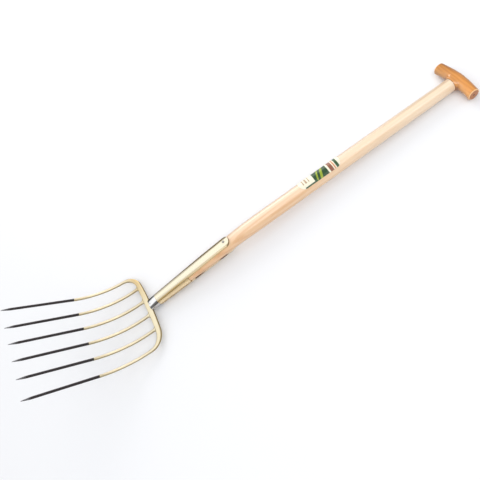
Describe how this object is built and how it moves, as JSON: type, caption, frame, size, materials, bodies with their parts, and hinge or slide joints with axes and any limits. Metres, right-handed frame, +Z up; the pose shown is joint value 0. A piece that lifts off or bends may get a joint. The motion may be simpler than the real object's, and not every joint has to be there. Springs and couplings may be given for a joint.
{
  "type": "manure fork",
  "caption": "Manure fork with curved round tines on a bowed crossbar, a strapped socket riveted to a cranked wooden shaft, and a turned wooden T-grip.",
  "frame": {"origin": "on the floor under the middle of the fork's box, as it lies on its back", "axes": "+Y from the tines towards the grip, +Z up, out of the fork's front, +X along the grip"},
  "size_m": [0.24, 1.1694, 0.1914],
  "materials": {
    "lacquer": "clear gold lacquer, near-black on the tines' lower halves",
    "bright_steel": "bare polished steel",
    "ash": "pale satin varnish",
    "varnished_wood": "orange-brown varnish",
    "label": "printed sticker"
  },
  "bodies": {
    "root": {"tine_bow": "lacquer", "inner_tine_1": "lacquer", "inner_tine_2": "lacquer", "inner_tine_3": "lacquer", "inner_tine_4": "lacquer", "neck": "bright_steel", "socket_shell": "lacquer", "front_strap": "lacquer", "strap_rivet": "bright_steel", "shaft": "ash", "grip": "varnished_wood", "grip_pin": "bright_steel", "shaft_label": "label"}
  },
  "joints": []
}
